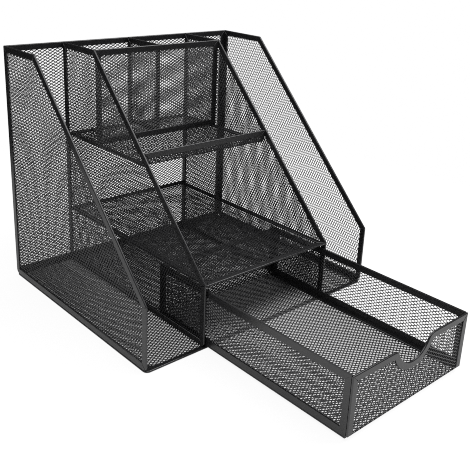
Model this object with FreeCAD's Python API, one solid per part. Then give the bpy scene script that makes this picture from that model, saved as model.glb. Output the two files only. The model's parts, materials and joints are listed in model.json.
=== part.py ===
"""Desk organiser of folded steel channel and expanded mesh: two file slots, two pen cups, two shelves, a drawer.

Millimetres. The origin is the centre of the footprint on the desk, +X right, +Y to the back, +Z up.
Every panel is a mesh sheet whose edges sit in folded channel strips, mitred at the corners.
"""
import FreeCAD, Part
import math
import os

Vec = FreeCAD.Vector

# ---- overall sizes
body_width = 350.0           # over the two outer side panels
body_depth = 294.0           # front edge to back face
body_height = 300.0          # desk to the level top edge
front_height = 78.0          # desk to the foot of the slope, level with the middle shelf
top_depth = 77.0             # length of the level top edge, back face to the head of the slope

# ---- sheet and channel
sheet_thickness = 0.8        # expanded mesh, drawn as a plain sheet
channel_wall = 0.8           # steel on each side of the sheet
channel_face = 7.5           # how far a channel reaches in over the sheet
floor_channel_face = 5.5     # the same for the narrower channel round the floor
foot_radius = 6.0            # rounded lower corners of the upright panels and of the floor
floor_window_radius = 16.0   # inner corners of the floor's rim
bend_radius = 2.0            # where a sheet turns up from a floor into a wall, at mid-thickness

# ---- shelves and slots
slot_width = 74.6            # clear width of each file slot
upper_shelf_height = 182.5   # desk to the upper face of the upper shelf
lip_height = 14.0            # upper shelf's front lip above the shelf
lip_setback = 1.5            # lip behind the sloping edge

# ---- drawer
drawer_side_gap = 1.5        # running gap each side
drawer_floor_gap = 0.3       # running gap over the front sill
drawer_headroom = 4.9        # drawer's rim to the middle shelf above it
drawer_back_gap = 1.6        # behind the closed drawer
drawer_open = 202.0          # how far the stored part's drawer stands open
scoop_half_width = 33.0      # middle of the drawer to where the scoop's shoulder begins
scoop_depth = 21.0           # finger scoop below the rim
scoop_shoulder = 10.0        # radius that leads into the scoop

# ---- what follows from them
channel_thickness = sheet_thickness + 2 * channel_wall
bend_reach = channel_thickness / 2 + bend_radius
left_x = -body_width / 2
right_x = body_width / 2
front_y = -body_depth / 2
back_y = body_depth / 2
back_inside_y = back_y - channel_thickness
inner_left_x = left_x + channel_thickness + slot_width
inner_right_x = right_x - channel_thickness - slot_width
bay_left_x = inner_left_x + channel_thickness
bay_right_x = inner_right_x - channel_thickness
bay_half_width = (bay_right_x - bay_left_x) / 2
slope_head_y = back_y - top_depth
pen_front_back_y = slope_head_y + channel_thickness
middle_shelf_underside = front_height - channel_thickness
upper_shelf_underside = upper_shelf_height - channel_thickness
lip_top = upper_shelf_height + lip_height

X_AXIS = Vec(1, 0, 0)
Y_AXIS = Vec(0, 1, 0)
Z_AXIS = Vec(0, 0, 1)


# ---------------------------------------------------------------- plane shapes
def corner_arc(before, corner, after, radius):
    """Start, middle and end of the arc that rounds a corner."""
    to_before = (before - corner).normalize()
    to_after = (after - corner).normalize()
    half_angle = to_before.getAngle(to_after) / 2
    reach = radius / math.tan(half_angle)
    bisector = (to_before + to_after).normalize()
    centre = corner + bisector * (radius / math.sin(half_angle))
    return corner + to_before * reach, centre - bisector * radius, corner + to_after * reach


def outline_face(points, radii):
    """A face inside a polygon, given as (u, v) pairs, with each corner rounded by its radius."""
    corners = [Vec(u, v, 0) for u, v in points]
    ends = []
    arcs = []
    for index, corner in enumerate(corners):
        if radii[index] > 0:
            after = corners[(index + 1) % len(corners)]
            start, middle, end = corner_arc(corners[index - 1], corner, after, radii[index])
            arcs.append(Part.Arc(start, middle, end).toShape())
            ends.append((start, end))
        else:
            arcs.append(None)
            ends.append((corner, corner))
    edges = []
    for index in range(len(corners)):
        if arcs[index]:
            edges.append(arcs[index])
        next_start = ends[(index + 1) % len(corners)][0]
        edges.append(Part.LineSegment(ends[index][1], next_start).toShape())
    return Part.Face(Part.Wire(edges))


def inset(points, distances):
    """Move each side of an anticlockwise polygon inwards by its own distance."""
    lines = []
    for index, start in enumerate(points):
        end = points[(index + 1) % len(points)]
        length = math.hypot(end[0] - start[0], end[1] - start[1])
        along = ((end[0] - start[0]) / length, (end[1] - start[1]) / length)
        shift = distances[index]
        lines.append(((start[0] - along[1] * shift, start[1] + along[0] * shift), along))
    moved = []
    for index in range(len(points)):
        (p, a), (q, b) = lines[index - 1], lines[index]
        travel = ((q[0] - p[0]) * b[1] - (q[1] - p[1]) * b[0]) / (a[0] * b[1] - a[1] * b[0])
        moved.append((p[0] + a[0] * travel, p[1] + a[1] * travel))
    return moved


def prism(face, start, height):
    """A plane face made solid from one height to another."""
    solid = face.extrude(Vec(0, 0, height))
    solid.translate(Vec(0, 0, start))
    return solid


def place(shape, origin, u_axis, v_axis):
    """Carry a shape from its drawing plane to where u_axis and v_axis point."""
    normal = u_axis.cross(v_axis)
    matrix = FreeCAD.Matrix(
        u_axis.x, v_axis.x, normal.x, origin.x,
        u_axis.y, v_axis.y, normal.y, origin.y,
        u_axis.z, v_axis.z, normal.z, origin.z,
        0, 0, 0, 1)
    return shape.transformed(matrix, True)


# ---------------------------------------------------------------- a framed sheet
def slab_and_sheet(points, radii, walls):
    """The whole thickness of a panel, and the sheet in the middle of it, which stops short of each side's wall."""
    slab = prism(outline_face(points, radii), 0, channel_thickness)
    sheet_points = inset(points, walls)
    sheet_radii = [max(radius - channel_wall, 0) for radius in radii]
    sheet = prism(outline_face(sheet_points, sheet_radii), channel_wall, sheet_thickness)
    return slab, sheet


def framed_sheet(points, radii, origin, u_axis, v_axis, bare_sides=()):
    """The mesh sheet and the channel strips of one flat panel, drawn anticlockwise in its own plane.

    A bare side has no strip. The sheet's edge butts there against the next panel's strip.
    """
    framed = [index not in bare_sides for index in range(len(points))]
    slab, sheet = slab_and_sheet(points, radii, [channel_wall * side for side in framed])
    window = inset(points, [channel_face * side for side in framed])
    strips = []
    for index in range(len(points)):
        if not framed[index]:
            continue
        after = (index + 1) % len(points)
        side = [points[index], points[after], window[after], window[index]]
        bar = prism(outline_face(side, [0] * 4), 0, channel_thickness)
        strips.append(bar.common(slab).cut(sheet).Solids[0])
    placed = [place(strip, origin, u_axis, v_axis) for strip in strips]
    return place(sheet, origin, u_axis, v_axis), placed


def rectangle(u_low, v_low, u_high, v_high):
    return [(u_low, v_low), (u_high, v_low), (u_high, v_high), (u_low, v_high)]


def side_outline(last_y):
    """The five-cornered side: level foot and top, upright front and back, and the slope."""
    return [
        (front_y, channel_thickness),
        (last_y, channel_thickness),
        (last_y, body_height),
        (slope_head_y, body_height),
        (front_y, front_height)]


def side_panel(low_x, last_y, foot_radii):
    radii = list(foot_radii) + [0, 0, 0]
    return framed_sheet(side_outline(last_y), radii, Vec(low_x, 0, 0), Y_AXIS, Z_AXIS)


def floor_panel():
    """The floor's sheet, and the one channel pressed round its whole edge, on which everything stands."""
    plan = rectangle(left_x, front_y, right_x, back_y)
    slab, sheet = slab_and_sheet(plan, [foot_radius] * 4, [channel_wall] * 4)
    window = outline_face(inset(plan, [floor_channel_face] * 4), [floor_window_radius] * 4)
    rim = slab.cut(prism(window, 0, channel_thickness)).cut(sheet)
    return sheet, rim.Solids


def upright_panel(low_x, high_x, low_z, high_z, behind_y, bare_sides=()):
    """An upright panel that faces the front, with its back face at behind_y."""
    outline = rectangle(low_x, low_z, high_x, high_z)
    return framed_sheet(outline, [0] * 4, Vec(0, behind_y, 0), X_AXIS, Z_AXIS, bare_sides)


def back_panel():
    """The back. Its left edge is held by the outer left panel's back strip alone."""
    left_side = 3
    return upright_panel(left_x + channel_thickness, right_x - channel_thickness,
                         channel_thickness, body_height, back_y, [left_side])


def middle_shelf():
    plan = rectangle(bay_left_x, front_y, bay_right_x, back_inside_y)
    return framed_sheet(plan, [0] * 4, Vec(0, 0, middle_shelf_underside), X_AXIS, Y_AXIS)


def pen_divider():
    outline = rectangle(pen_front_back_y, upper_shelf_height, back_inside_y, body_height)
    low_x = (bay_left_x + bay_right_x - channel_thickness) / 2
    return framed_sheet(outline, [0] * 4, Vec(low_x, 0, 0), Y_AXIS, Z_AXIS)


# ---------------------------------------------------------------- a tray: floor and end walls from one bent sheet
def scooped_line(half_width, rim_z, drop):
    """The wall's rim with the finger scoop, lowered everywhere by drop, as lines and tangent arcs."""
    reach = (scoop_half_width ** 2 + scoop_depth ** 2) / (2 * scoop_depth)
    scoop_radius = reach - scoop_shoulder
    scoop_centre = Vec(0, rim_z - scoop_depth + scoop_radius, 0)
    shoulder = scoop_shoulder - drop
    bottom = scoop_radius + drop
    edges = []
    previous = Vec(-half_width, rim_z - drop, 0)
    for side in (-1, 1):
        shoulder_centre = Vec(side * scoop_half_width, rim_z - scoop_shoulder, 0)
        meeting = shoulder_centre + (scoop_centre - shoulder_centre).normalize() * shoulder
        crown = shoulder_centre + Vec(0, shoulder, 0)
        towards = ((meeting - shoulder_centre) + (crown - shoulder_centre)).normalize()
        half_way = shoulder_centre + towards * shoulder
        if side < 0:
            edges.append(Part.LineSegment(previous, crown).toShape())
            edges.append(Part.Arc(crown, half_way, meeting).toShape())
        else:
            lowest = scoop_centre - Vec(0, bottom, 0)
            edges.append(Part.Arc(previous, lowest, meeting).toShape())
            edges.append(Part.Arc(meeting, half_way, crown).toShape())
            edges.append(Part.LineSegment(crown, Vec(half_width, rim_z - drop, 0)).toShape())
        previous = meeting
    return edges


def plain_line(half_width, rim_z, drop):
    """The wall's straight rim, lowered by drop."""
    level = rim_z - drop
    return [Part.LineSegment(Vec(-half_width, level, 0), Vec(half_width, level, 0)).toShape()]


def closed_face(upper_edges, lower_edges):
    """The face between two lines of edges that both run from left to right."""
    first = upper_edges[0].Vertexes[0].Point
    last = upper_edges[-1].Vertexes[-1].Point
    low_first = lower_edges[0].Vertexes[0].Point
    low_last = lower_edges[-1].Vertexes[-1].Point
    ends = [Part.LineSegment(first, low_first).toShape(), Part.LineSegment(last, low_last).toShape()]
    wires = Part.sortEdges(upper_edges + lower_edges + ends)
    return Part.Face(Part.Wire(wires[0]))


def turned_up_wall(half_width, floor_z, rim_z, line):
    """Sheet and strips of a wall turned up from a floor: outer face at y = 0, floor behind it."""
    bend_z = floor_z + bend_reach
    wall_origin = Vec(0, channel_thickness, 0)
    inside = half_width - channel_face
    sheet_half = half_width - channel_wall
    wall_foot = [Part.LineSegment(Vec(-sheet_half, bend_z, 0), Vec(sheet_half, bend_z, 0)).toShape()]
    wall_sheet = prism(closed_face(line(sheet_half, rim_z, channel_wall), wall_foot),
                       channel_wall, sheet_thickness)
    wall_sheet = place(wall_sheet, wall_origin, X_AXIS, Z_AXIS)

    outer = Part.makeCylinder(bend_radius + sheet_thickness / 2, 2 * sheet_half, Vec(-sheet_half, 0, 0), X_AXIS)
    inner = Part.makeCylinder(bend_radius - sheet_thickness / 2, 2 * sheet_half, Vec(-sheet_half, 0, 0), X_AXIS)
    room = 2 * bend_radius
    quarter = Part.makeBox(2 * half_width, room, room, Vec(-half_width, -room, -room))
    bend = outer.cut(inner).common(quarter)
    bend.translate(Vec(0, bend_reach, bend_z))

    top = prism(closed_face(line(half_width, rim_z, 0), line(inside, rim_z, channel_face)), 0, channel_thickness)
    posts = []
    for side in (-1, 1):
        corners = [
            (side * half_width, bend_z),
            (side * half_width, rim_z),
            (side * inside, rim_z - channel_face),
            (side * inside, bend_z)]
        posts.append(prism(outline_face(corners, [0] * 4), 0, channel_thickness))
    strips = [place(strip, wall_origin, X_AXIS, Z_AXIS).cut(wall_sheet).Solids[0] for strip in [top] + posts]
    return [bend, wall_sheet], strips


def stand_at(shapes, outer_y, faces_back):
    """Carry a turned-up wall to where its outer face belongs, turned round if it is a back wall."""
    for shape in shapes:
        if faces_back:
            shape.rotate(Vec(0, 0, 0), Z_AXIS, 180)
        shape.translate(Vec(0, outer_y, 0))


def bent_tray(half_width, wall_y, end_y, floor_z, rim_z, front_line, back_line=None):
    """Sheet, floor strips and wall strips of a tray with its front wall, and its back wall if it has one,
    turned up from its floor."""
    sheets, front_strips = turned_up_wall(half_width, floor_z, rim_z, front_line)
    stand_at(sheets + front_strips, wall_y, False)
    floor_end = end_y
    back_strips = []
    if back_line:
        back_sheets, back_strips = turned_up_wall(half_width, floor_z, rim_z, back_line)
        stand_at(back_sheets + back_strips, end_y, True)
        sheets += back_sheets
        floor_end = end_y - bend_reach

    open_back = not back_line
    floor_plan = rectangle(-half_width, wall_y + bend_reach, half_width, floor_end)
    floor_sheet_plan = inset(floor_plan, [0, channel_wall, channel_wall * open_back, channel_wall])
    floor_window = inset(floor_plan, [0, channel_face, channel_face * open_back, channel_face])
    floor_sheet = prism(outline_face(floor_sheet_plan, [0] * 4), floor_z + channel_wall, sheet_thickness)
    sheet = floor_sheet.fuse(sheets).removeSplitter().Solids[0]

    floor_strips = []
    for index in (1, 2, 3) if open_back else (1, 3):
        after = (index + 1) % 4
        side = [floor_plan[index], floor_plan[after], floor_window[after], floor_window[index]]
        floor_strips.append(prism(outline_face(side, [0] * 4), floor_z, channel_thickness).cut(sheet).Solids[0])
    return sheet, floor_strips, front_strips, back_strips


def slope_y(height):
    """Where the sloping edge stands at a height."""
    share = (height - front_height) / (body_height - front_height)
    return front_y + share * (slope_head_y - front_y)


def upper_shelf():
    lip_y = slope_y(lip_top) + lip_setback
    return bent_tray(bay_half_width, lip_y, back_inside_y, upper_shelf_underside, lip_top, plain_line)


# ---------------------------------------------------------------- drawer, drawn where it stands open
drawer_half_width = bay_half_width - drawer_side_gap
drawer_length = body_depth - channel_thickness - drawer_back_gap
drawer_front_y = front_y - drawer_open
drawer_back_y = drawer_front_y + drawer_length
drawer_underside = channel_thickness + drawer_floor_gap
drawer_rim_z = middle_shelf_underside - drawer_headroom
drawer_wall_foot = drawer_underside + channel_thickness


def drawer_side(low_x):
    """A drawer side: it stands on the floor's strip between the end walls, rounded over their bends."""
    outline = rectangle(drawer_front_y + channel_thickness, drawer_wall_foot,
                        drawer_back_y - channel_thickness, drawer_rim_z)
    over_bend = bend_radius - channel_thickness / 2
    radii = [over_bend, over_bend, 0, 0]
    return framed_sheet(outline, radii, Vec(low_x, 0, 0), Y_AXIS, Z_AXIS)


def drawer_tray():
    return bent_tray(drawer_half_width, drawer_front_y, drawer_back_y, drawer_underside, drawer_rim_z,
                     scooped_line, plain_line)


# ---------------------------------------------------------------- the parts
def save(node, solids):
    shape = solids[0] if len(solids) == 1 else Part.makeCompound(solids)
    shape.exportStep(os.path.join("parts", node + ".step"))


def save_panel(name, panel):
    sheet, strips = panel
    save(name + "_mesh", [sheet])
    save(name + "_rim", strips)


def main():
    os.makedirs("parts", exist_ok=True)
    feet = [foot_radius, foot_radius]
    save_panel("floor", floor_panel())
    save_panel("outer_left", side_panel(left_x, back_y, feet))
    save_panel("outer_right", side_panel(right_x - channel_thickness, back_y, feet))
    save_panel("inner_left", side_panel(inner_left_x, back_inside_y, feet))
    save_panel("inner_right", side_panel(bay_right_x, back_inside_y, feet))
    save_panel("back", back_panel())
    save_panel("middle_shelf", middle_shelf())
    save_panel("pen_front", upright_panel(bay_left_x, bay_right_x, upper_shelf_height,
                                          body_height, pen_front_back_y))
    save_panel("pen_divider", pen_divider())

    shelf_sheet, shelf_strips, lip_strips, _ = upper_shelf()
    save("upper_shelf_mesh", [shelf_sheet])
    save("upper_shelf_rim", shelf_strips)
    save("upper_shelf_lip_rim", lip_strips)

    tray_sheet, floor_strips, front_strips, back_strips = drawer_tray()
    save("drawer_tray_mesh", [tray_sheet])
    save("drawer_floor_rim", floor_strips)
    save("drawer_front_rim", front_strips)
    save("drawer_back_rim", back_strips)
    save_panel("drawer_left", drawer_side(-drawer_half_width))
    save_panel("drawer_right", drawer_side(drawer_half_width - channel_thickness))


main()
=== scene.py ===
"""Looks of a desk organiser with a drawer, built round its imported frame.

The sheets become expanded mesh, the strips get their folds, and both stand in a plain studio.
"""

import json
import math

import bmesh
import bpy
from bpy.props import FloatProperty, FloatVectorProperty, IntProperty, PointerProperty
from mathutils import Euler, Matrix, Vector

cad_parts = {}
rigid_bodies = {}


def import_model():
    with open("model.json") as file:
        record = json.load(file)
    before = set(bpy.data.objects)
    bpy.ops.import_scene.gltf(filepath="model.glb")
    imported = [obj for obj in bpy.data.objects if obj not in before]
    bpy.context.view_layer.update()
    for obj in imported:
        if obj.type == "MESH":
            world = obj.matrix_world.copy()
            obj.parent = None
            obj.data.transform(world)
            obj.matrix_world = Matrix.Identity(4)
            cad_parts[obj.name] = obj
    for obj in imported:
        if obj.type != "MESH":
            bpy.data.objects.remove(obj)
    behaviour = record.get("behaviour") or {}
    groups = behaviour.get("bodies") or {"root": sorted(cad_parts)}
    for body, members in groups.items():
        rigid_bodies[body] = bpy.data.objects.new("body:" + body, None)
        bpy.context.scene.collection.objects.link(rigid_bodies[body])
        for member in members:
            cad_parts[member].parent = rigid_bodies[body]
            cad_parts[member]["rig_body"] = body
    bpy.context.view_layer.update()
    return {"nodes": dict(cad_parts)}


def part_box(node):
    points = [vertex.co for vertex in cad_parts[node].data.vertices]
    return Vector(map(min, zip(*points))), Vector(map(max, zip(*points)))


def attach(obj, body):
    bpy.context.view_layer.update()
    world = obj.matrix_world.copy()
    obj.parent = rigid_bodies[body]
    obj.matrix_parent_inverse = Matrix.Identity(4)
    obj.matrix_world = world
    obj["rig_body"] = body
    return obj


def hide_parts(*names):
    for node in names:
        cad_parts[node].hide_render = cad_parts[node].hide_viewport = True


bl_info = {
    "name": "Mesh desk organiser",
    "version": (1, 0, 0),
    "blender": (4, 5, 0),
    "location": "3D View > Sidebar > Organiser",
    "description": "Expanded mesh, folded rims and stage for a desk organiser with a drawer",
    "category": "Object",
}

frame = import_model()

MESH_SLOT = "mesh"
RIM_SLOT = "rim"
FOLD = "fold"                # the attribute that marks the rounded faces of a rim
AXES = (Vector((1, 0, 0)), Vector((0, 1, 0)), Vector((0, 0, 1)))
X, Y, Z = range(3)
QUARTER_TURN = math.pi / 2

# each plane sheet: the axis of its openings' long diagonal, how far and to which side its strands
# lean, and how much longer and narrower than usual its openings were stretched
FLAT_SHEETS = {
    "floor_mesh": (X, -1, 1.0),
    "back_mesh": (X, 1, 0.996),
    "middle_shelf_mesh": (X, 1, 1.0),
    "pen_front_mesh": (X, 1, 0.97),
    "pen_divider_mesh": (Y, 1, 0.94),
    "outer_left_mesh": (Z, 1, 0.98),
    "outer_right_mesh": (Z, 1, 1.03),
    "inner_left_mesh": (Z, 1, 1.02),
    "inner_right_mesh": (Z, 0.1, 0.99),
    "drawer_left_mesh": (Y, 1, 1.0),
    "drawer_right_mesh": (Y, 1, 1.0),
}
# each bent sheet: the same, and how far it turns up again at the back
BENT_SHEETS = {
    "upper_shelf_mesh": (Y, 1, 1.0, 0.0),
    "drawer_tray_mesh": (X, -0.9, 0.99, QUARTER_TURN),
}
# how far a sheet's bare left edge runs on, unseen, inside the post that it butts against
BARE_LEFT_EDGES = {"back_mesh": 0.0022}
RIMS = [name for name in frame["nodes"] if name.endswith("_rim")]

WELD = 1e-6                  # corners closer than this are one corner
ON_FACE = 1e-5               # a corner this near a face lies on it


# ---------------------------------------------------------------- what a user may change
class MeshSettings(bpy.types.PropertyGroup):
    """Sizes of the expanded mesh."""
    long_pitch: FloatProperty(
        name="Long pitch", description="Distance between openings along their long diagonal",
        default=0.0071, min=0.002, unit="LENGTH", precision=5)
    short_pitch: FloatProperty(
        name="Short pitch", description="Distance between openings along their short diagonal",
        default=0.00385, min=0.001, unit="LENGTH", precision=5)
    opening: FloatProperty(
        name="Opening", description="Side of an opening as a share of its cell's side",
        default=0.715, min=0.2, max=0.95, subtype="FACTOR")
    gauge: FloatProperty(
        name="Gauge", description="Thickness of a strand",
        default=0.0004, min=0.0001, unit="LENGTH", precision=5)
    lift: FloatProperty(
        name="Lift",
        description="How far a strand's two edges stand out of the sheet, one to each side",
        default=0.00043, min=0.0, unit="LENGTH", precision=5)
    bend_radius: FloatProperty(
        name="Bend radius",
        description="Radius at which a bent sheet turns up into a wall, at mid-thickness",
        default=0.002, min=0.001, unit="LENGTH", precision=5)


class RimSettings(bpy.types.PropertyGroup):
    """Sizes of the folded rims."""
    fold_radius: FloatProperty(
        name="Fold radius",
        description="Rounding of the strip's outer edge, where it is folded over the mesh",
        default=0.0011, min=0.0001, unit="LENGTH", precision=5)
    cut_radius: FloatProperty(
        name="Cut radius", description="Rounding of cut edges and of the mitres at the corners",
        default=0.0006, min=0.00005, unit="LENGTH", precision=5)
    mitre_gap: FloatProperty(
        name="Mitre gap", description="Width of the dark line where two strips meet",
        default=0.0001, min=0.0, unit="LENGTH", precision=5)
    fold_steps: IntProperty(
        name="Fold steps", description="Faces across a rounded edge", default=4, min=1, max=8)


class CoatSettings(bpy.types.PropertyGroup):
    """Colour and sheen of the powder coat."""
    colour: FloatVectorProperty(
        name="Colour", description="Colour of the powder coat",
        default=(0.012, 0.012, 0.013), subtype="COLOR", size=3, min=0.0, max=1.0)
    # the mesh's colour is the rims' colour times this share
    mesh_shade: FloatProperty(
        name="Mesh shade",
        description="Lightness of the thinner coat on the mesh, as a share of the rims'",
        default=2.0, min=0.1, max=4.0)
    roughness: FloatProperty(
        name="Roughness", description="Roughness of the coat", default=0.32,
        min=0.0, max=1.0, subtype="FACTOR")
    rim_specular: FloatProperty(
        name="Rim specular", description="Strength of the reflections on the rims", default=0.85,
        min=0.0, max=1.0, subtype="FACTOR")
    mesh_specular: FloatProperty(
        name="Mesh specular", description="Strength of the reflections on the mesh", default=0.9,
        min=0.0, max=1.0, subtype="FACTOR")
    grain_size: FloatProperty(
        name="Grain size", description="Size of the coat's orange-peel grain",
        default=0.0009, min=0.0001, unit="LENGTH", precision=5)


class StageSettings(bpy.types.PropertyGroup):
    """Camera and light."""
    camera_place: FloatVectorProperty(
        name="Camera place", description="Where the camera stands",
        default=(-0.54728, -0.67719, 0.43667), subtype="TRANSLATION", size=3)
    azimuth: FloatProperty(
        name="Azimuth",
        description="How far the camera's view is turned to the right of straight back",
        default=math.radians(42.64), subtype="ANGLE")
    elevation: FloatProperty(
        name="Elevation", description="How far the camera looks down",
        default=math.radians(18.87), subtype="ANGLE")
    roll: FloatProperty(
        name="Roll", description="How far the camera is tipped",
        default=math.radians(2.52), subtype="ANGLE")
    lens: FloatProperty(
        name="Lens", description="Focal length in millimetres on a 36 mm sensor",
        default=55.25, min=10.0)
    shift: FloatVectorProperty(
        name="Shift", description="Camera shift, right and up, as shares of the picture",
        default=(-0.0036, -0.1155), size=2)
    ambient: FloatProperty(
        name="Ambient", description="Strength of the surrounding light", default=0.5, min=0.0)
    key_power: FloatProperty(
        name="Key", description="Power of the main lamp in watts", default=9.0, min=0.0)
    fill_power: FloatProperty(
        name="Fill", description="Power of the second lamp in watts", default=4.0, min=0.0)
    surround_radius: FloatProperty(
        name="Surround radius",
        description="Distance at which the table ends and the dark surround begins",
        default=0.65, min=0.5, unit="LENGTH")
    surround_height: FloatProperty(
        name="Surround height", description="Height of the dark surround",
        default=0.7, min=0.0, unit="LENGTH")


# ---------------------------------------------------------------- node trees
class Wire:
    """A node's output that can stand in an arithmetic expression."""

    def __init__(self, tree, socket):
        self.tree = tree
        self.socket = socket

    def __add__(self, other):
        return self.tree.math("ADD", self, other)

    __radd__ = __add__

    def __sub__(self, other):
        return self.tree.math("SUBTRACT", self, other)

    def __rsub__(self, other):
        return self.tree.math("SUBTRACT", other, self)

    def __mul__(self, other):
        return self.tree.math("MULTIPLY", self, other)

    __rmul__ = __mul__

    def __truediv__(self, other):
        return self.tree.math("DIVIDE", self, other)

    def __neg__(self):
        return self.tree.math("SUBTRACT", 0.0, self)


class Tree:
    """A node tree that is written as calls and expressions."""

    def __init__(self, node_tree):
        self.node_tree = node_tree

    def node(self, kind, settings=None, **inputs):
        """Adds a node: its settings first, then the value or wire of each input.

        An input goes by its name, with _ for a space, or by its number, as in _0.
        """
        made = self.node_tree.nodes.new(kind)
        for name, value in (settings or {}).items():
            setattr(made, name, value)
        for name, value in inputs.items():
            key = int(name[1:]) if name[0] == "_" else name.replace("_", " ")
            self.feed(made.inputs[key], value)
        return made

    def feed(self, socket, value):
        if isinstance(value, Wire):
            self.node_tree.links.new(value.socket, socket)
        elif value is not None:
            socket.default_value = value

    def out(self, made, name=0):
        return Wire(self, made.outputs[name])

    def math(self, operation, *values):
        inputs = {"_%d" % index: value for index, value in enumerate(values)}
        return self.out(self.node("ShaderNodeMath", {"operation": operation}, **inputs))

    def split(self, vector):
        parts = self.node("ShaderNodeSeparateXYZ", Vector=vector)
        return [self.out(parts, index) for index in range(3)]

    def join(self, x, y, z):
        return self.out(self.node("ShaderNodeCombineXYZ", X=x, Y=y, Z=z))


# ---------------------------------------------------------------- finishes
CLOUD_SCALE = 22.0           # noise scale of the coat's faint clouds
CLOUD_DETAIL = 3.0
GRAIN_DETAIL = 2.0
CLOUD_SHADE = 0.5            # how far the clouds change the colour, from darkest to lightest
CLOUD_ROUGHNESS = 0.16       # how far the clouds change the roughness
FOLD_PAINTED_HIGHLIGHT = 0.6             # painted highlight: how much lighter the rims' colour is painted over a fold
FOLD_POLISH = 0.06           # how much smoother it is there
GRAIN_STRENGTH = 0.35
MESH_GRAIN = 0.00004         # depth of the grain on the mesh, in metres
RIM_GRAIN = 0.00008          # depth of the grain on the rims


def powder_coat(name, settings, shade_share, specular, grain_depth, painted_fold_highlight):
    """Satin black powder coat with a fine grain, faint clouds and a painted highlight over folds.
    """
    material = bpy.data.materials.new(name)
    material.use_nodes = True
    tree = Tree(material.node_tree)
    shader = material.node_tree.nodes["Principled BSDF"]
    place = tree.out(tree.node("ShaderNodeTexCoord"), "Object")

    def noise(scale, detail):
        return tree.out(
            tree.node("ShaderNodeTexNoise", Vector=place, Scale=scale, Detail=detail), "Fac")

    clouds = noise(CLOUD_SCALE, CLOUD_DETAIL)
    grain = noise(1.0 / settings.grain_size, GRAIN_DETAIL)
    fold = tree.out(tree.node("ShaderNodeAttribute", {"attribute_name": FOLD}), "Fac")

    # painted highlight: the colour is made lighter over the rims' rounded folds, standing in for
    # the light they catch
    shade = shade_share * (1.0 - CLOUD_SHADE / 2 + CLOUD_SHADE * clouds) + painted_fold_highlight * fold
    tint = tree.node("ShaderNodeVectorMath", {"operation": "SCALE"},
                     _0=settings.colour[:], Scale=shade)
    tree.feed(shader.inputs["Base Color"], tree.out(tint))
    roughness = settings.roughness - CLOUD_ROUGHNESS / 2 + CLOUD_ROUGHNESS * clouds
    tree.feed(shader.inputs["Roughness"], roughness - FOLD_POLISH * fold)
    shader.inputs["Specular IOR Level"].default_value = specular
    bump = tree.node("ShaderNodeBump", Strength=GRAIN_STRENGTH, Distance=grain_depth, Height=grain)
    tree.feed(shader.inputs["Normal"], tree.out(bump))
    return material


def coat(slot):
    """The finish of a slot, made once."""
    name = slot + "_coat"
    found = bpy.data.materials.get(name)
    if found:
        return found
    settings = bpy.context.scene.organiser_coat
    if slot == MESH_SLOT:
        return powder_coat(name, settings, settings.mesh_shade, settings.mesh_specular,
                           grain_depth=MESH_GRAIN, painted_fold_highlight=0.0)
    # the rims get the painted highlight over their folds
    return powder_coat(name, settings, 1.0, settings.rim_specular,
                       grain_depth=RIM_GRAIN, painted_fold_highlight=FOLD_PAINTED_HIGHLIGHT)


# ---------------------------------------------------------------- pieces
def adopt(mesh, name, node, slot):
    """Makes a finished mesh the piece that stands for a node."""
    mesh.name = name
    mesh.materials.clear()
    mesh.materials.append(coat(slot))
    piece = bpy.data.objects.new(name, mesh)
    bpy.context.scene.collection.objects.link(piece)
    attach(piece, frame["nodes"][node]["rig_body"])
    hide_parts(node)


def plain_mesh(shape, name):
    """The mesh of a finished bmesh shape. The shape itself goes."""
    mesh = bpy.data.meshes.new(name)
    shape.to_mesh(mesh)
    shape.free()
    return mesh


def evaluated_mesh(obj):
    """The plain mesh that an object's modifiers give. The object itself goes."""
    bpy.context.scene.collection.objects.link(obj)
    graph = bpy.context.evaluated_depsgraph_get()
    mesh = bpy.data.meshes.new_from_object(obj.evaluated_get(graph), depsgraph=graph)
    bpy.data.objects.remove(obj)
    return mesh


def merged_copy(node):
    """A copy of a node's mesh with its loose triangles joined."""
    joined = bmesh.new()
    joined.from_mesh(frame["nodes"][node].data)
    bmesh.ops.remove_doubles(joined, verts=joined.verts, dist=WELD)
    return joined


def thinnest_axis(extent):
    """The axis along which a flat panel's box is thinnest: the panel's normal."""
    return min(range(3), key=lambda axis: extent[axis])


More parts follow.
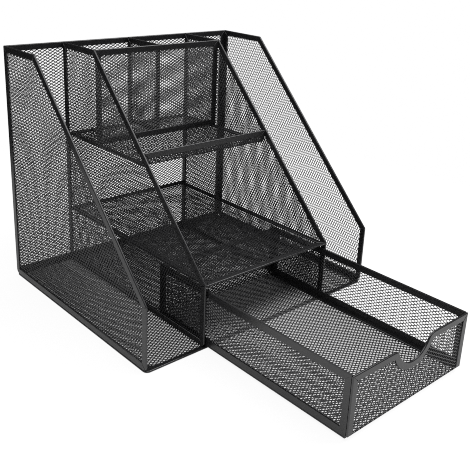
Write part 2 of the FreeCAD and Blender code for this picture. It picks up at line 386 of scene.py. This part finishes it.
# ---------------------------------------------------------------- expanded mesh
def expanded_mesh_tree():
    """Whole cells of diamond openings over a sheet, given thickness and bent as the sheet is."""
    group = bpy.data.node_groups.get("Expanded mesh")
    if group:
        return group
    group = bpy.data.node_groups.new("Expanded mesh", "GeometryNodeTree")
    group.is_modifier = True
    group.interface.new_socket("Sheet", in_out="INPUT", socket_type="NodeSocketGeometry")
    for name, kind in (
            ("Pitch across", "Float"), ("Pitch along", "Float"), ("Opening", "Float"),
            ("Gauge", "Float"), ("Lift across", "Float"), ("Lift along", "Float"),
            ("Cells", "Int"), ("Middle", "Float"), ("Floor length", "Float"),
            ("Bend radius", "Float"), ("Front turn", "Float"), ("Back turn", "Float"),
            ("Reach", "Float"), ("Finish", "Material")):
        group.interface.new_socket(name, in_out="INPUT", socket_type="NodeSocket" + kind)
    group.interface.new_socket("Mesh", in_out="OUTPUT", socket_type="NodeSocketGeometry")

    tree = Tree(group)
    given = tree.node("NodeGroupInput")

    def size(name):
        return tree.out(given, name)

    def bent(position):
        """Where a point of the flat sheet (across, along, out) comes to lie on the bent one."""
        across, along, out = tree.split(position)
        radius = size("Bend radius")
        inner = radius - out

        def turned_up(past, turn):
            """How far out and how far up a point past the floor's end comes to lie."""
            angle = tree.math("MINIMUM", tree.math("MAXIMUM", past / radius, 0.0), turn)
            wall = tree.math("MAXIMUM", past - radius * turn, 0.0)
            reach = inner * tree.math("SINE", angle) + wall * tree.math("COSINE", turn)
            rise = inner * (1.0 - tree.math("COSINE", angle)) + wall * tree.math("SINE", turn)
            return reach, rise

        length = size("Floor length")
        front_reach, front_rise = turned_up(-along, size("Front turn"))
        back_reach, back_rise = turned_up(along - length, size("Back turn"))
        floor = tree.math("MINIMUM", tree.math("MAXIMUM", along, 0.0), length)
        return tree.join(across, floor - front_reach + back_reach, out + front_rise + back_rise)

    cells = size("Cells")
    corners = cells + 1.0
    grid = tree.node("GeometryNodeMeshGrid",
                     Size_X=cells, Size_Y=cells, Vertices_X=corners, Vertices_Y=corners)
    first, second, _ = tree.split(tree.out(tree.node("GeometryNodeInputPosition")))
    across = (first + second) * size("Pitch across") * 0.5
    along = (second - first) * size("Pitch along") * 0.5 + size("Middle")
    lattice = tree.node("GeometryNodeSetPosition",
                        Geometry=tree.out(grid), Position=tree.join(across, along, 0.0))

    position = tree.out(tree.node("GeometryNodeInputPosition"))
    near = tree.node("GeometryNodeProximity", {"target_element": "FACES"},
                     _0=size("Sheet"), _2=bent(position))
    outside = tree.math("GREATER_THAN", tree.out(near, "Distance"), size("Reach"))
    covered = tree.node("GeometryNodeDeleteGeometry", {"domain": "POINT"},
                        Geometry=tree.out(lattice), Selection=outside)
    neighbours = tree.out(tree.node("GeometryNodeInputMeshEdgeNeighbors"), "Face Count")
    loose = tree.math("LESS_THAN", neighbours, 1.0)
    covered = tree.node("GeometryNodeDeleteGeometry", {"domain": "EDGE"},
                        Geometry=tree.out(covered), Selection=loose)

    capture = tree.node("GeometryNodeCaptureAttribute", {"domain": "FACE"},
                        Geometry=tree.out(covered))
    capture.capture_items.new("VECTOR", "Centre")
    tree.feed(capture.inputs["Centre"], position)
    cut = tree.node("GeometryNodeExtrudeMesh", {"mode": "FACES"},
                    Mesh=tree.out(capture), Offset_Scale=0.0, Individual=True)
    centre = tree.split(tree.out(capture, "Centre"))
    place = tree.split(position)
    step = [place[index] - centre[index] for index in range(2)]
    opening = size("Opening")
    lifted = 2.0 * (step[0] * size("Lift across") / size("Pitch across")
                    + step[1] * size("Lift along") / size("Pitch along"))
    shrunk = tree.join(centre[0] + step[0] * opening, centre[1] + step[1] * opening, lifted)
    inset = tree.node("GeometryNodeSetPosition", Geometry=tree.out(cut),
                      Selection=tree.out(cut, "Top"), Position=shrunk)
    strands = tree.node("GeometryNodeDeleteGeometry", {"domain": "FACE"},
                        Geometry=tree.out(inset), Selection=tree.out(cut, "Top"))

    front = tree.node("GeometryNodeExtrudeMesh", {"mode": "FACES"},
                      Mesh=tree.out(strands), Offset=tree.join(0.0, 0.0, 1.0),
                      Offset_Scale=size("Gauge"), Individual=False)
    behind = tree.node("GeometryNodeFlipFaces", Mesh=tree.out(strands))
    both = tree.node("GeometryNodeJoinGeometry", Geometry=tree.out(front))
    tree.feed(both.inputs[0], tree.out(behind))
    closed = tree.node("GeometryNodeMergeByDistance", Geometry=tree.out(both), Distance=WELD)
    centred = tree.node("GeometryNodeSetPosition", Geometry=tree.out(closed),
                        Offset=tree.join(0.0, 0.0, size("Gauge") * -0.5))
    shaped = tree.node("GeometryNodeSetPosition",
                       Geometry=tree.out(centred), Position=bent(position))
    real = tree.node("GeometryNodeRealizeInstances", Geometry=tree.out(shaped))
    finished = tree.node("GeometryNodeSetMaterial",
                         Geometry=tree.out(real), Material=size("Finish"))
    tree.node("NodeGroupOutput", Mesh=tree.out(finished))
    return group


SHEET_HALF = min(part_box("floor_mesh")[1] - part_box("floor_mesh")[0]) / 2
REACH_MARGIN = 0.00012       # how far outside its sheet a corner of the lattice may still lie
SPARE_CELLS = 2              # how many cells the lattice has beyond those that its sheet needs


def lay_mesh(node, group, to_place, long_across, lean, stretch, width, start, end,
             floor_length, turns):
    """Covers a sheet with expanded mesh.

    The lattice is width wide and runs from start to end, with its floor from 0 to floor_length
    and a turn up before and after it. to_place carries it from its own axes to the sheet's place.
    """
    settings = bpy.context.scene.organiser_mesh
    sheet = merged_copy(node)
    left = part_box(node)[0].x
    for vertex in sheet.verts:
        if vertex.co.x - left < ON_FACE:
            vertex.co.x -= BARE_LEFT_EDGES.get(node, 0.0)
    sheet.transform(to_place.inverted())
    carrier = bpy.data.objects.new(node + "_carrier", plain_mesh(sheet, node))
    modifier = carrier.modifiers.new("Expanded mesh", "NODES")
    modifier.node_group = group
    pitches = [settings.short_pitch / stretch, settings.long_pitch * stretch]
    lifts = [settings.lift * lean, 0.0]
    if long_across:
        pitches.reverse()
        lifts.reverse()
    values = {
        "Pitch across": pitches[0],
        "Pitch along": pitches[1],
        "Opening": settings.opening,
        "Gauge": settings.gauge,
        "Lift across": lifts[0],
        "Lift along": lifts[1],
        "Cells": math.ceil(width / pitches[0] + (end - start) / pitches[1]) + SPARE_CELLS,
        "Middle": (start + end) / 2,
        "Floor length": floor_length,
        "Bend radius": settings.bend_radius,
        "Front turn": turns[0],
        "Back turn": turns[1],
        "Reach": SHEET_HALF + REACH_MARGIN,
        "Finish": coat(MESH_SLOT),
    }
    for socket in group.interface.items_tree:
        if socket.in_out == "INPUT" and socket.name in values:
            modifier[socket.identifier] = values[socket.name]
    mesh = evaluated_mesh(carrier)
    mesh.transform(to_place)
    adopt(mesh, node.replace("_mesh", "_expanded_mesh"), node, MESH_SLOT)


def flat_sheet(node, group):
    """A plane sheet: its thinnest way is its normal, and FLAT_SHEETS gives the other ways."""
    low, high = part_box(node)
    low = low - AXES[X] * BARE_LEFT_EDGES.get(node, 0.0)
    extent = high - low
    normal = thinnest_axis(extent)
    long_way, lean, stretch = FLAT_SHEETS[node]
    short_way = X + Y + Z - normal - long_way
    across, along = AXES[long_way], AXES[short_way]
    axes = Matrix((across, along, across.cross(along))).transposed().to_4x4()
    to_place = Matrix.Translation((low + high) / 2) @ axes
    half = extent[short_way] / 2
    lay_mesh(node, group, to_place, True, lean, stretch, extent[long_way], -half, half,
             floor_length=half, turns=(0.0, 0.0))


def bent_sheet(node, group):
    """A floor whose front, and whose back if BENT_SHEETS says so, turns up into a wall."""
    radius = bpy.context.scene.organiser_mesh.bend_radius
    long_way, lean, stretch, back_turn = BENT_SHEETS[node]
    low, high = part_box(node)
    bend_reach = SHEET_HALF + radius
    floor_start = Vector(((low.x + high.x) / 2, low.y + bend_reach, low.z + SHEET_HALF))
    wall = QUARTER_TURN * radius + high.z - low.z - bend_reach
    floor_length = high.y - floor_start.y
    end = floor_length
    if back_turn:
        floor_length -= bend_reach
        end = floor_length + wall
    lay_mesh(node, group, Matrix.Translation(floor_start), long_way == X, lean, stretch,
             high.x - low.x, -wall, end, floor_length, turns=(QUARTER_TURN, back_turn))


# ---------------------------------------------------------------- folded rims
SAME_TURN = 0.001            # radians: a face that turns by less than this has turned right round
JOINED_TURN = math.radians(1)    # faces that turn by less than this are joined into one
SHARP_TURN = math.radians(30)    # an edge that turns by less than this isn't rounded
ROUNDED = 1                  # material place of the rounded faces while a rim is made


def turn_through_steel(axis, start, end):
    """The angle round an edge from one face to another, through the solid behind the first."""
    turn = math.atan2(axis.dot(end.cross(start)), start.dot(end)) % math.tau
    return turn if turn > SAME_TURN else math.tau


def steel_neighbours(triangles):
    """For each triangle, its neighbours on the same solid, also where two solids touch."""
    users = {}
    for index, corners in enumerate(triangles):
        for first in range(3):
            start, end, third = (corners[(first + step) % 3] for step in range(3))
            edge = (min(start, end), max(start, end))
            users.setdefault(edge, []).append((index, start < end, Vector(third)))
    neighbours = [[] for _ in triangles]
    for (start, end), faces in users.items():
        origin = Vector(start)
        axis = (Vector(end) - origin).normalized()
        arms = [third - origin - axis * axis.dot(third - origin) for _, _, third in faces]
        forward = [number for number, face in enumerate(faces) if face[1]]
        backward = [number for number, face in enumerate(faces) if not face[1]]
        for number in forward:
            other = min(backward, key=lambda choice: turn_through_steel(
                axis, arms[number], arms[choice]))
            neighbours[faces[number][0]].append(faces[other][0])
            neighbours[faces[other][0]].append(faces[number][0])
    return neighbours


def separate_strips(node):
    """A node's mesh with each strip's triangles joined, and the strips apart where they meet."""
    source = frame["nodes"][node].data
    grid = [tuple(round(value / WELD) for value in vertex.co) for vertex in source.vertices]
    triangles = [tuple(grid[index] for index in face.vertices) for face in source.polygons]
    triangles = [corners for corners in triangles if len(set(corners)) == 3]
    neighbours = steel_neighbours(triangles)
    strips = bmesh.new()
    left = set(range(len(triangles)))
    while left:
        found = [left.pop()]
        corner_of = {}
        while found:
            index = found.pop()
            for corner in triangles[index]:
                if corner not in corner_of:
                    corner_of[corner] = strips.verts.new(Vector(corner) * WELD)
            strips.faces.new([corner_of[corner] for corner in triangles[index]])
            reached = left.intersection(neighbours[index])
            left -= reached
            found.extend(reached)
    strips.normal_update()
    return strips


def slab_levels(element, slab):
    """Where a face's or edge's corners lie in a panel: -1 and 1 on its two sides, 0 between."""
    normal, low, high = slab
    depths = [vertex.co[normal] for vertex in element.verts]
    return [-1 if depth - low < ON_FACE else 1 if high - depth < ON_FACE else 0
            for depth in depths]


def is_nose(face, slab):
    """Whether a face is a strip's outer edge, which spans its thickness and misses the slot."""
    levels = slab_levels(face, slab)
    return 0 not in levels and -1 in levels and 1 in levels


def open_mitres(strips, slab, gap):
    """Draws the strips' cut ends back along them, which leaves a fine dark line at each joint."""
    moves = {}
    for face in strips.faces:
        if set(slab_levels(face, slab)) != {-1, 0, 1}:
            continue
        for vertex in face.verts:
            for edge in vertex.link_edges:
                if face not in edge.link_faces:
                    along = (edge.other_vert(vertex).co - vertex.co).normalized()
                    moves[vertex] = along * gap / 2
    for vertex, move in moves.items():
        vertex.co += move


def fold_weights(strips, slab, cut_share):
    """Marks what is rounded: the folded outer edges fully, cut edges and mitres by cut_share."""
    weight = strips.edges.layers.float.new("bevel_weight_edge")
    for edge in strips.edges:
        if len(edge.link_faces) != 2 or not edge.is_convex:
            continue
        if edge.calc_face_angle() < SHARP_TURN:
            continue
        ends = slab_levels(edge, slab)
        beside_nose = any(is_nose(face, slab) for face in edge.link_faces)
        if ends[0] == ends[1] and ends[0] != 0:
            edge[weight] = 1.0 if beside_nose else cut_share
        elif beside_nose:
            edge[weight] = cut_share


def folded_rim(node):
    """The strips of one panel, with rounded folds, softened cut edges and a line at each mitre."""
    settings = bpy.context.scene.organiser_rims
    strips = separate_strips(node)
    bmesh.ops.dissolve_limit(
        strips, angle_limit=JOINED_TURN, verts=strips.verts, edges=strips.edges)
    low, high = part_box(node)
    normal = thinnest_axis(high - low)
    slab = (normal, low[normal], high[normal])
    open_mitres(strips, slab, settings.mitre_gap)
    fold_weights(strips, slab, settings.cut_radius / settings.fold_radius)
    base = plain_mesh(strips, node)
    # the second place is only there to tell the rounded faces from the others
    for _ in range(ROUNDED + 1):
        base.materials.append(coat(RIM_SLOT))
    carrier = bpy.data.objects.new(node + "_carrier", base)
    bevel = carrier.modifiers.new("Rounded edges", "BEVEL")
    bevel.width = settings.fold_radius
    bevel.segments = settings.fold_steps
    bevel.limit_method = "WEIGHT"
    bevel.material = ROUNDED
    mesh = evaluated_mesh(carrier)
    rounded = [face.material_index == ROUNDED for face in mesh.polygons]
    mesh.polygons.foreach_set("use_smooth", rounded)
    # this mark also places the painted highlight in the rims' coat, besides their smoother
    # roughness
    fold = mesh.attributes.new(FOLD, "FLOAT", "FACE")
    fold.data.foreach_set("value", [float(mark) for mark in rounded])
    mesh.polygons.foreach_set("material_index", [0] * len(mesh.polygons))
    adopt(mesh, node.replace("_rim", "_folded_rim"), node, RIM_SLOT)


# ---------------------------------------------------------------- stage
MIDDLE = (0.0, -0.05, 0.12)  # what the lamps shine at
KEY_PLACE = (0.75, -0.5, 1.1)
FILL_PLACE = (-0.6, -0.3, 1.2)
LAMP_SIZE = 1.0
SENSOR_WIDTH = 36.0          # millimetres
FILTER_WIDTH = 1.0           # pixels
FLOOR_DROP = 0.0002          # how far under the object the floor lies
FLOOR_SIDES = 96
FLOOR_COLOUR = (0.9, 0.9, 0.9, 1.0)
FLOOR_WHITE = 1.11           # strength of the white that is mixed with the lit floor
FLOOR_WHITE_SEEN = 0.8       # the white's share to the camera
FLOOR_WHITE_MIRRORED = 0.1   # the white's share in reflections and glass
SURROUND_SIDES = 48
SURROUND_COLOUR = (0.01, 0.01, 0.01, 1.0)
WORLD_COLOUR = (1.0, 1.0, 1.0, 1.0)


def plain_white(tree, surface, strength, camera_share, mirror_share):
    """Mixes white into a surface: one share for the camera, one for reflections and glass."""
    path = tree.node("ShaderNodeLightPath")
    camera_ray, glossy_ray, glass_ray = (
        tree.out(path, "Is %s Ray" % kind) for kind in ("Camera", "Glossy", "Transmission"))
    mirrored = tree.math("MAXIMUM", glossy_ray, glass_ray)
    seen = tree.math("MAXIMUM", camera_ray * camera_share, mirrored * mirror_share)
    white = tree.node("ShaderNodeEmission", Strength=strength)
    return tree.node("ShaderNodeMixShader", Fac=seen, _1=tree.out(surface), _2=tree.out(white))


def stage_object(name, shape, material):
    """A finished shape that belongs to the stage and not to the organiser."""
    mesh = plain_mesh(shape, name)
    mesh.materials.append(material)
    made = bpy.data.objects.new(name, mesh)
    bpy.context.scene.collection.objects.link(made)
    return made


def studio_floor(radius):
    """A round pale floor that keeps the object's soft shadow and is white where fully lit."""
    floor = bmesh.new()
    bmesh.ops.create_circle(floor, cap_ends=True, segments=FLOOR_SIDES, radius=radius)
    bmesh.ops.translate(floor, verts=floor.verts, vec=(0.0, 0.0, -FLOOR_DROP))
    material = bpy.data.materials.new("studio_floor")
    material.use_nodes = True
    material.node_tree.nodes.clear()
    tree = Tree(material.node_tree)
    surface = tree.node("ShaderNodeBsdfDiffuse", Color=FLOOR_COLOUR)
    mixed = plain_white(tree, surface, FLOOR_WHITE, FLOOR_WHITE_SEEN, FLOOR_WHITE_MIRRORED)
    tree.node("ShaderNodeOutputMaterial", Surface=tree.out(mixed))
    stage_object("studio_floor", floor, material)


def dark_surround(radius, height):
    """A black wall round the table that only reflections see: it darkens what the rims reflect."""
    surround = bmesh.new()
    bmesh.ops.create_cone(surround, cap_ends=False, segments=SURROUND_SIDES,
                          radius1=radius, radius2=radius, depth=height)
    bmesh.ops.translate(surround, verts=surround.verts, vec=(0.0, 0.0, height / 2))
    material = bpy.data.materials.new("dark_surround")
    material.use_nodes = True
    shader = material.node_tree.nodes["Principled BSDF"]
    shader.inputs["Base Color"].default_value = SURROUND_COLOUR
    shader.inputs["Roughness"].default_value = 1.0
    wall = stage_object("dark_surround", surround, material)
    wall.visible_camera = False
    wall.visible_diffuse = False
    wall.visible_shadow = False


def studio_world(ambient):
    """White to the camera and in reflections, and soft light of a strength on everything."""
    world = bpy.data.worlds.new("studio")
    world.use_nodes = True
    world.node_tree.nodes.clear()
    tree = Tree(world.node_tree)
    around = tree.node("ShaderNodeBackground", Color=WORLD_COLOUR, Strength=ambient)
    mixed = plain_white(tree, around, 1.0, camera_share=1.0, mirror_share=1.0)
    tree.node("ShaderNodeOutputWorld", Surface=tree.out(mixed))
    bpy.context.scene.world = world


def lamp(name, place, power):
    """A square soft lamp at a place, which shines at the middle of the organiser."""
    light = bpy.data.lights.new(name, "AREA")
    light.shape = "SQUARE"
    light.size = LAMP_SIZE
    light.energy = power
    obj = bpy.data.objects.new(name, light)
    obj.visible_camera = False
    obj.location = place
    obj.rotation_euler = (Vector(MIDDLE) - Vector(place)).to_track_quat("-Z", "Y").to_euler()
    bpy.context.scene.collection.objects.link(obj)


def camera(stage):
    """The camera at the place, turn and lens that the settings give."""
    data = bpy.data.cameras.new("camera")
    data.lens = stage.lens
    data.sensor_width = SENSOR_WIDTH
    data.shift_x, data.shift_y = stage.shift
    obj = bpy.data.objects.new("camera", data)
    obj.location = stage.camera_place
    upright = Euler((QUARTER_TURN - stage.elevation, 0, -stage.azimuth), "XYZ").to_matrix()
    obj.rotation_euler = (upright @ Matrix.Rotation(stage.roll, 3, "Z")).to_euler()
    bpy.context.scene.collection.objects.link(obj)
    bpy.context.scene.camera = obj


# ---------------------------------------------------------------- operators
class ORGANISER_OT_flat_sheets(bpy.types.Operator):
    """Expanded mesh of every plane sheet"""
    bl_idname = "organiser.flat_sheets"
    bl_label = "Flat mesh sheets"

    def execute(self, context):
        group = expanded_mesh_tree()
        for node in FLAT_SHEETS:
            flat_sheet(node, group)
        return {"FINISHED"}


class ORGANISER_OT_bent_sheets(bpy.types.Operator):
    """Expanded mesh of the upper shelf with its lip, and of the drawer's floor, front and back"""
    bl_idname = "organiser.bent_sheets"
    bl_label = "Bent mesh sheets"

    def execute(self, context):
        group = expanded_mesh_tree()
        for node in BENT_SHEETS:
            bent_sheet(node, group)
        return {"FINISHED"}


class ORGANISER_OT_rims(bpy.types.Operator):
    """Folded strips round every panel"""
    bl_idname = "organiser.rims"
    bl_label = "Folded rims"

    def execute(self, context):
        for node in RIMS:
            folded_rim(node)
        return {"FINISHED"}


class ORGANISER_OT_stage(bpy.types.Operator):
    """Pale floor, soft light and camera"""
    bl_idname = "organiser.stage"
    bl_label = "Stage"

    def execute(self, context):
        stage = context.scene.organiser_stage
        studio_floor(stage.surround_radius)
        dark_surround(stage.surround_radius, stage.surround_height)
        studio_world(stage.ambient)
        lamp("key_lamp", KEY_PLACE, stage.key_power)
        lamp("fill_lamp", FILL_PLACE, stage.fill_power)
        camera(stage)
        context.scene.view_settings.view_transform = "Standard"
        # the mesh is finer than a denoiser or a wide filter can keep
        context.scene.cycles.use_denoising = False
        context.scene.cycles.filter_width = FILTER_WIDTH
        return {"FINISHED"}


class ORGANISER_PT_panel(bpy.types.Panel):
    """Lists the steps that build the organiser"""
    bl_idname = "ORGANISER_PT_panel"
    bl_label = "Desk organiser"
    bl_space_type = "VIEW_3D"
    bl_region_type = "UI"
    bl_category = "Organiser"

    def draw(self, context):
        for group in SETTINGS:
            settings = getattr(context.scene, group)
            for name in settings.__annotations__:
                self.layout.prop(settings, name)
        for operator in STEPS:
            self.layout.operator(operator.bl_idname)


SETTINGS = {
    "organiser_mesh": MeshSettings,
    "organiser_rims": RimSettings,
    "organiser_coat": CoatSettings,
    "organiser_stage": StageSettings,
}
STEPS = (ORGANISER_OT_flat_sheets, ORGANISER_OT_bent_sheets, ORGANISER_OT_rims, ORGANISER_OT_stage)


def register():
    for name, settings in SETTINGS.items():
        bpy.utils.register_class(settings)
        setattr(bpy.types.Scene, name, PointerProperty(type=settings))
    for made in STEPS + (ORGANISER_PT_panel,):
        bpy.utils.register_class(made)


def unregister():
    for made in (ORGANISER_PT_panel,) + STEPS:
        bpy.utils.unregister_class(made)
    for name, settings in SETTINGS.items():
        delattr(bpy.types.Scene, name)
        bpy.utils.unregister_class(settings)


def main():
    register()
    bpy.ops.organiser.flat_sheets()
    bpy.ops.organiser.bent_sheets()
    bpy.ops.organiser.rims()
    bpy.ops.organiser.stage()


if __name__ == "__main__":
    main()
